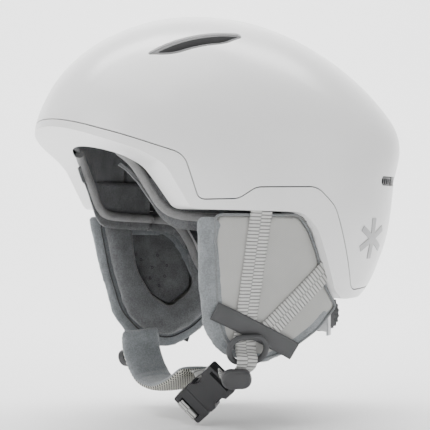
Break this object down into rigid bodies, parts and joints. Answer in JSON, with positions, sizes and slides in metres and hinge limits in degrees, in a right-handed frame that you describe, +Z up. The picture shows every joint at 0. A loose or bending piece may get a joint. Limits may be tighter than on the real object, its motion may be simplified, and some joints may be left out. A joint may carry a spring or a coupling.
{
  "type": "ski helmet",
  "caption": "Hard-shell ski helmet with foam liner, fit dial, soft ear pads and a side-release chin buckle.",
  "frame": {"origin": "on the head's axis, level with the shell's lower edge above the ears", "axes": "+Z up to the crown, the face looks along -Y, the wearer's left is +X"},
  "size_m": [0.2158, 0.2652, 0.2833],
  "materials": {
    "shell_white": "satin painted shell",
    "foam": "moulded bead foam",
    "dark_plastic": "black moulded plastic",
    "vent_grey": "dark grey moulded plastic",
    "emblem_grey": "satin grey applied piece",
    "fleece_dark": "brushed textile, dark grey",
    "fleece_light": "brushed fleece, mid grey",
    "woven_cover": "plain woven cloth, light grey",
    "webbing": "ribbed webbing, light grey",
    "chin_mesh": "spacer mesh over fleece",
    "rubber_black": "moulded rubber, matte",
    "buckle_black": "moulded acetal, fine texture",
    "cradle_grey": "translucent grey nylon",
    "steel": "bright pin"
  },
  "bodies": {
    "helmet": {"brow_pad": "fleece_dark", "buckle_female": "buckle_black", "chin_pad": "chin_mesh", "chin_strap": "webbing", "cradle": "cradle_grey", "crown_pad": "fleece_dark", "dial_housing": "dark_plastic", "ear_pad_bolster_left": "fleece_light", "ear_pad_bolster_right": "fleece_light", "ear_pad_cover_left": "woven_cover", "ear_pad_cover_right": "woven_cover", "ear_pad_tab_left": "dark_plastic", "ear_pad_tab_right": "dark_plastic", "ear_panel_left": "fleece_dark", "ear_panel_right": "fleece_dark", "emblem_left": "emblem_grey", "emblem_right": "emblem_grey", "front_strap_left": "webbing", "front_strap_right": "webbing", "goggle_clip_base": "dark_plastic", "goggle_clip_catch": "dark_plastic", "goggle_clip_pin": "steel", "impact_liner": "foam", "keeper_band_left": "rubber_black", "keeper_band_right": "rubber_black", "lower_shell": "shell_white", "lower_strap_left": "webbing", "lower_strap_right": "webbing", "nape_pad": "fleece_dark", "rear_strap_left": "webbing", "rear_strap_right": "webbing", "rear_vent_mesh_left": "dark_plastic", "rear_vent_mesh_right": "dark_plastic", "side_pad_left": "fleece_dark", "side_pad_right": "fleece_dark", "strap_ring_left": "rubber_black", "strap_ring_right": "rubber_black", "strap_slider_left": "dark_plastic", "strap_slider_right": "dark_plastic", "upper_shell": "shell_white", "vent_insert_left": "vent_grey", "vent_insert_right": "vent_grey"},
    "dial": {"dial_pinion": "dark_plastic", "dial_knob": "dark_plastic", "dial_grip": "rubber_black"},
    "rack_left": {"rack_band_left": "cradle_grey"},
    "rack_right": {"rack_band_right": "cradle_grey"},
    "buckle_tongue": {"buckle_male": "buckle_black"},
    "prong_front": {"release_prong_front": "buckle_black"},
    "prong_rear": {"release_prong_rear": "buckle_black"},
    "clip": {"goggle_clip": "dark_plastic"}
  },
  "joints": [
    {"name": "dial_turn", "type": "hinge", "parent": "helmet", "child": "dial", "pos_m": [0, 0.0828, -0.077], "axis": [0, -1, 0], "range_deg": [0, 280]},
    {"name": "rack_left_slide", "type": "hinge", "parent": "helmet", "child": "rack_left", "pos_m": [0, 0.02, -0.077], "axis": [0, 0, 1], "range_deg": [0, 18]},
    {"name": "rack_right_slide", "type": "hinge", "parent": "helmet", "child": "rack_right", "pos_m": [0, 0.02, -0.077], "axis": [0, 0, 1], "range_deg": [-18, 0]},
    {"name": "buckle_release", "type": "slide", "parent": "helmet", "child": "buckle_tongue", "axis": [-0.7403, -0.2916, -0.6057], "range_m": [0, 0.025], "deforming": ["chin_strap"]},
    {"name": "prong_front_squeeze", "type": "hinge", "parent": "buckle_tongue", "child": "prong_front", "pos_m": [0.03157, -0.04136, -0.12266], "axis": [0.5797, -0.7332, -0.3554], "range_deg": [-6, 0], "stiffness_Nm_per_rad": 0.02},
    {"name": "prong_rear_squeeze", "type": "hinge", "parent": "buckle_tongue", "child": "prong_rear", "pos_m": [0.03742, -0.0308, -0.1349], "axis": [0.5797, -0.7332, -0.3554], "range_deg": [0, 6], "stiffness_Nm_per_rad": 0.02},
    {"name": "goggle_clip_open", "type": "hinge", "parent": "helmet", "child": "clip", "pos_m": [0, 0.12496, 0.008], "axis": [1, 0, 0], "range_deg": [0, 95]}
  ],
  "couplings": [
    {"joint": "rack_left_slide", "follows": "dial_turn", "ratio": 0.063898},
    {"joint": "rack_right_slide", "follows": "dial_turn", "ratio": -0.063898}
  ]
}
